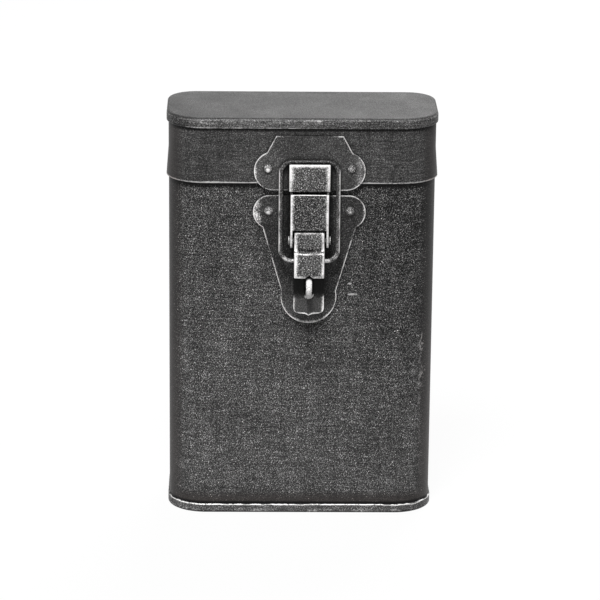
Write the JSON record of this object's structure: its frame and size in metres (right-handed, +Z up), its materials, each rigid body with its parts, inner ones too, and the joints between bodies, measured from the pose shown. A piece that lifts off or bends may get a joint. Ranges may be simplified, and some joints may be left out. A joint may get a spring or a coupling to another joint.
{
  "type": "latched tin box",
  "caption": "Tall upright tin box with rounded corners, a hinged lid and an over-centre draw latch with a padlock staple.",
  "frame": {"origin": "centre of the body wall's outline, on the ground", "axes": "+Z up; the latch is on the front, towards -Y; +X is to the right as seen from the front"},
  "size_m": [0.1102, 0.0622, 0.1682],
  "materials": {
    "gunmetal_tin": "dark gunmetal, dry-brushed with silver",
    "plain_tin": "dull grey",
    "latch_plate": "smooth dark gunmetal with worn edges",
    "latch_pressing": "dark gunmetal, heavily speckled with silver",
    "worn_steel": "dark steel rubbed bright"
  },
  "bodies": {
    "box": {"body_wall": "gunmetal_tin", "neck_collar": "plain_tin", "base_plate": "gunmetal_tin", "latch_base_plate": "latch_plate", "latch_base_rivets": "worn_steel", "pivot_bracket": "latch_pressing", "lever_pin": "worn_steel", "padlock_staple": "worn_steel", "hinge_body_leaf": "latch_plate", "hinge_pin": "worn_steel", "hinge_body_rivets": "worn_steel"},
    "lid": {"lid_skirt": "gunmetal_tin", "lid_top": "gunmetal_tin", "catch_plate": "latch_plate", "catch_hook": "latch_pressing", "catch_plate_rivets": "worn_steel", "hinge_lid_leaf": "latch_plate", "hinge_lid_rivets": "worn_steel"},
    "lever": {"lever": "latch_pressing"},
    "loop": {"wire_loop": "worn_steel"}
  },
  "joints": [
    {"name": "lid_hinge", "type": "hinge", "parent": "box", "child": "lid", "pos_m": [0, 0.0259, 0.1413], "axis": [-1, 0, 0], "range_deg": [0, 188]},
    {"name": "lever_pivot", "type": "hinge", "parent": "box", "child": "lever", "pos_m": [0.0028, -0.0289, 0.119], "axis": [-1, 0, 0], "range_deg": [0, 100]},
    {"name": "loop_pivot", "type": "hinge", "parent": "lever", "child": "loop", "pos_m": [0.0028, -0.0277, 0.1101], "axis": [-1, 0, 0], "range_deg": [-85, 0]}
  ],
  "couplings": [
    {"joint": "loop_pivot", "follows": "lever_pivot", "ratio": -0.85}
  ]
}
